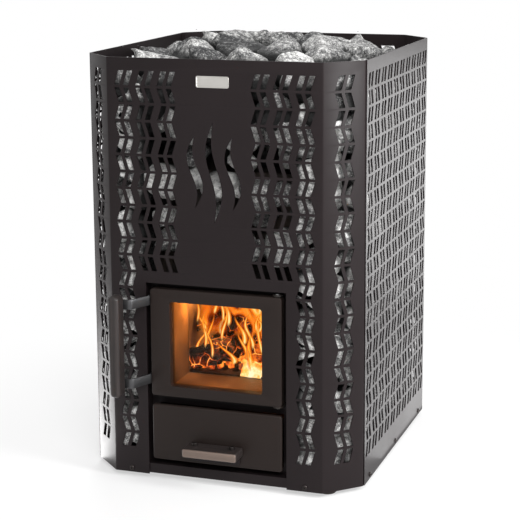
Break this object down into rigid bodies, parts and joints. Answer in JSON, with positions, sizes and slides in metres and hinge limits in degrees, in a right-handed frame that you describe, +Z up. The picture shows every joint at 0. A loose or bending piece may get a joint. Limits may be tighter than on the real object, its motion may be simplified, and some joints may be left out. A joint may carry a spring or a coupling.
{
  "type": "wood-burning sauna heater",
  "caption": "Tall eight-sided sauna heater stove with a slotted black casing full of stones, a glazed fire door with a wooden grip and an ash drawer below.",
  "frame": {"origin": "on the floor under the middle of the stove, at the bottom centre of its box", "axes": "+Z up, the door and the drawer face -Y, +X to the right as seen from the front"},
  "size_m": [0.5198, 0.7286, 0.7977],
  "materials": {
    "black_paint": "satin",
    "dark_steel": "matte",
    "grey_steel": "satin",
    "plate_metal": "satin",
    "cast_iron": "matte",
    "fireclay": "matte",
    "stone": "matte",
    "dark_wood": "satin",
    "fire_wood": "matte",
    "ember": "matte",
    "rope": "matte",
    "glass": "gloss"
  },
  "bodies": {
    "stove": {"casing_front": "black_paint", "casing_rear": "black_paint", "casing_left": "black_paint", "casing_right": "black_paint", "corner_front_left": "black_paint", "corner_front_right": "black_paint", "corner_rear_left": "black_paint", "corner_rear_right": "black_paint", "base_tray": "black_paint", "front_frame": "black_paint", "foot_front_left": "dark_steel", "foot_front_right": "dark_steel", "foot_rear_left": "dark_steel", "foot_rear_right": "dark_steel", "firebox_shell": "dark_steel", "firebox_lid": "dark_steel", "throat": "dark_steel", "ash_duct": "dark_steel", "hearth_plate": "dark_steel", "baffle_plate": "dark_steel", "flue_spigot": "dark_steel", "hinge_lug_upper": "dark_steel", "hinge_lug_lower": "dark_steel", "hinge_pin_upper": "grey_steel", "hinge_pin_lower": "grey_steel", "screw_front_1": "grey_steel", "screw_front_2": "grey_steel", "screw_right_1": "grey_steel", "screw_right_2": "grey_steel", "screw_right_3": "grey_steel", "screw_left_1": "grey_steel", "screw_left_2": "grey_steel", "screw_left_3": "grey_steel", "blank_plate": "plate_metal", "grate": "cast_iron", "firebrick_left": "fireclay", "firebrick_right": "fireclay", "firebrick_rear": "fireclay", "stones_top": "stone", "stones_left": "stone", "stones_right": "stone", "stones_front": "stone", "stones_rear": "stone", "log_left": "fire_wood", "log_right": "fire_wood", "log_top": "fire_wood", "ember_bed": "ember"},
    "door": {"door_frame": "black_paint", "door_glass": "glass", "glass_retainer": "dark_steel", "door_seal": "rope", "handle_bar_lower": "grey_steel", "handle_bar_upper": "grey_steel", "handle_grip": "dark_wood"},
    "ash_drawer": {"drawer_front": "black_paint", "ash_tray": "dark_steel", "drawer_angle": "grey_steel", "drawer_grip": "dark_wood", "drawer_bolt_left": "grey_steel", "drawer_bolt_right": "grey_steel"}
  },
  "joints": [
    {"name": "door_hinge", "type": "hinge", "parent": "stove", "child": "door", "pos_m": [0.113, -0.28, 0.2595], "axis": [0, 0, 1], "range_deg": [0, 115]},
    {"name": "drawer_slide", "type": "slide", "parent": "stove", "child": "ash_drawer", "axis": [0, -1, 0], "range_m": [0, 0.28]}
  ]
}
